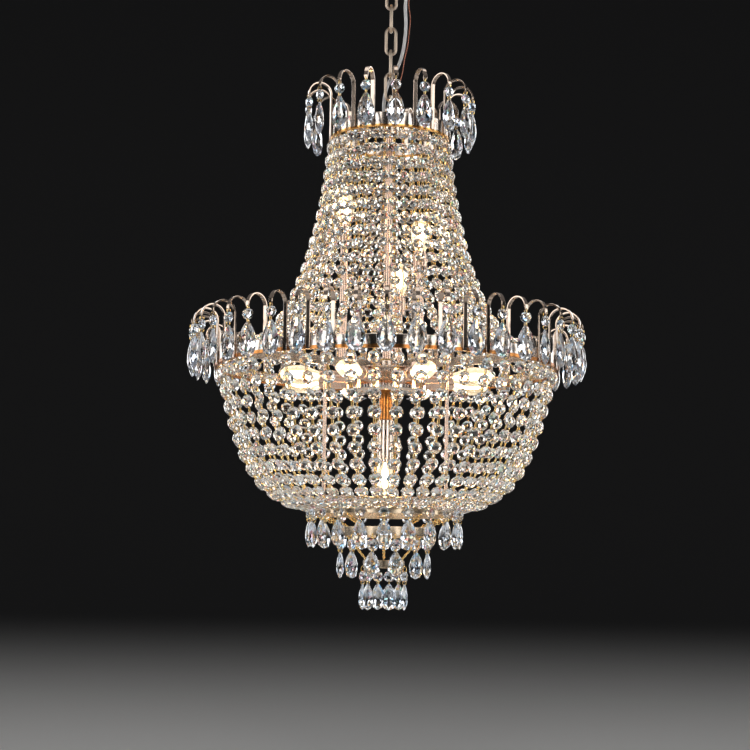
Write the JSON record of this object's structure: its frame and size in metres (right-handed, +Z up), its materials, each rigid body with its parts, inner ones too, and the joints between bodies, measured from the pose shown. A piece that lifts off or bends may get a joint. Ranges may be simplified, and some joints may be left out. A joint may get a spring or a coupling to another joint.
{
  "type": "crystal chandelier",
  "caption": "Empire chandelier on a chain: flared skirt and bowl basket of bead strands between banded rings, hooked teardrop crystals, tiered drops and inner lamps.",
  "frame": {"origin": "on the ceiling plane, midway between the two ceiling screw holes of the crossbar", "axes": "+Z up, out of the ceiling face of the rose; the front is -Y; +X runs along the crossbar"},
  "size_m": [0.4798, 0.4798, 0.8251],
  "materials": {
    "champagne_metal": "satin plated steel, pale champagne",
    "light_gold": "bright light-gold plating",
    "copper_metal": "bright rose-copper plating",
    "crystal": "clear cut glass",
    "lamp_glass": "clear lamp glass, lit",
    "clear_cable": "clear sheathed mains cable",
    "earth_copper": "bare stranded copper",
    "grip_plastic": "clear moulded cord grip"
  },
  "bodies": {
    "rose": {"rose_crossbar": "champagne_metal", "rose_cup": "champagne_metal", "rose_screws": "light_gold", "rose_nipple": "light_gold", "rose_nut": "light_gold", "rose_loop": "light_gold", "cord_grip": "grip_plastic"},
    "frame": {"bail": "light_gold", "basket_strands": "crystal", "bottom_nut": "copper_metal", "bottom_pendants": "crystal", "bottom_plate": "copper_metal", "bottom_ring": "champagne_metal", "column": "light_gold", "column_nuts": "light_gold", "earth_wire": "earth_copper", "hub_cover": "champagne_metal", "hub_drum": "champagne_metal", "inner_cable": "clear_cable", "lamp_stems": "copper_metal", "lower_bulb": "lamp_glass", "lower_lampholder": "copper_metal", "lower_rod": "copper_metal", "mid_bulbs": "lamp_glass", "mid_hooks": "champagne_metal", "mid_lampholders": "copper_metal", "mid_pendants": "crystal", "mid_ring": "champagne_metal", "mid_wire_ring": "copper_metal", "power_cord": "clear_cable", "skirt_strands": "crystal", "spokes": "champagne_metal", "stem_nuts": "copper_metal", "support_rods": "light_gold", "tier2_chains": "light_gold", "tier2_pendants": "crystal", "tier2_ring": "champagne_metal", "tier3_chains": "light_gold", "tier3_ring": "champagne_metal", "top_hooks": "champagne_metal", "top_pendants": "crystal", "top_ring": "champagne_metal", "top_spider": "champagne_metal", "top_wire_ring": "light_gold", "upper_bulbs": "lamp_glass", "upper_lampholders": "copper_metal"},
    "chain_link_1": {"chain_link_1": "light_gold"},
    "chain_link_2": {"chain_link_2": "light_gold"},
    "chain_link_3": {"chain_link_3": "light_gold"},
    "chain_link_4": {"chain_link_4": "light_gold"},
    "chain_link_5": {"chain_link_5": "light_gold"},
    "drop_1": {"drop_1": "crystal"},
    "drop_2": {"drop_2": "crystal"},
    "drop_3": {"drop_3": "crystal"},
    "drop_4": {"drop_4": "crystal"},
    "drop_5": {"drop_5": "crystal"},
    "drop_6": {"drop_6": "crystal"}
  },
  "joints": [
    {"name": "swing", "type": "hinge", "parent": "rose", "child": "frame", "pos_m": [0, 0, -0.05005], "axis": [0, 1, 0], "range_deg": [-8, 8], "deforming": ["power_cord", "earth_wire"]},
    {"name": "chain_link_1_twist", "type": "hinge", "parent": "frame", "child": "chain_link_1", "pos_m": [0, 0, -0.12], "axis": [0, 0, 1], "range_deg": [-12, 12]},
    {"name": "chain_link_2_twist", "type": "hinge", "parent": "frame", "child": "chain_link_2", "pos_m": [0, 0, -0.12], "axis": [0, 0, 1], "range_deg": [-12, 12]},
    {"name": "chain_link_3_twist", "type": "hinge", "parent": "frame", "child": "chain_link_3", "pos_m": [0, 0, -0.12], "axis": [0, 0, 1], "range_deg": [-12, 12]},
    {"name": "chain_link_4_twist", "type": "hinge", "parent": "frame", "child": "chain_link_4", "pos_m": [0, 0, -0.12], "axis": [0, 0, 1], "range_deg": [-12, 12]},
    {"name": "chain_link_5_twist", "type": "hinge", "parent": "frame", "child": "chain_link_5", "pos_m": [0, 0, -0.12], "axis": [0, 0, 1], "range_deg": [-12, 12]},
    {"name": "drop_1_swing", "type": "hinge", "parent": "frame", "child": "drop_1", "pos_m": [0.00678, -0.02529, -0.7693], "axis": [-0.9659, -0.2588, 0], "range_deg": [-10, 20]},
    {"name": "drop_2_swing", "type": "hinge", "parent": "frame", "child": "drop_2", "pos_m": [0.02529, -0.00678, -0.7693], "axis": [-0.2588, -0.9659, 0], "range_deg": [-10, 20]},
    {"name": "drop_3_swing", "type": "hinge", "parent": "frame", "child": "drop_3", "pos_m": [0.01851, 0.01851, -0.7693], "axis": [0.7071, -0.7071, 0], "range_deg": [-10, 20]},
    {"name": "drop_4_swing", "type": "hinge", "parent": "frame", "child": "drop_4", "pos_m": [-0.00678, 0.02529, -0.7693], "axis": [0.9659, 0.2588, 0], "range_deg": [-10, 20]},
    {"name": "drop_5_swing", "type": "hinge", "parent": "frame", "child": "drop_5", "pos_m": [-0.02529, 0.00678, -0.7693], "axis": [0.2588, 0.9659, 0], "range_deg": [-10, 20]},
    {"name": "drop_6_swing", "type": "hinge", "parent": "frame", "child": "drop_6", "pos_m": [-0.01851, -0.01851, -0.7693], "axis": [-0.7071, 0.7071, 0], "range_deg": [-10, 20]}
  ]
}
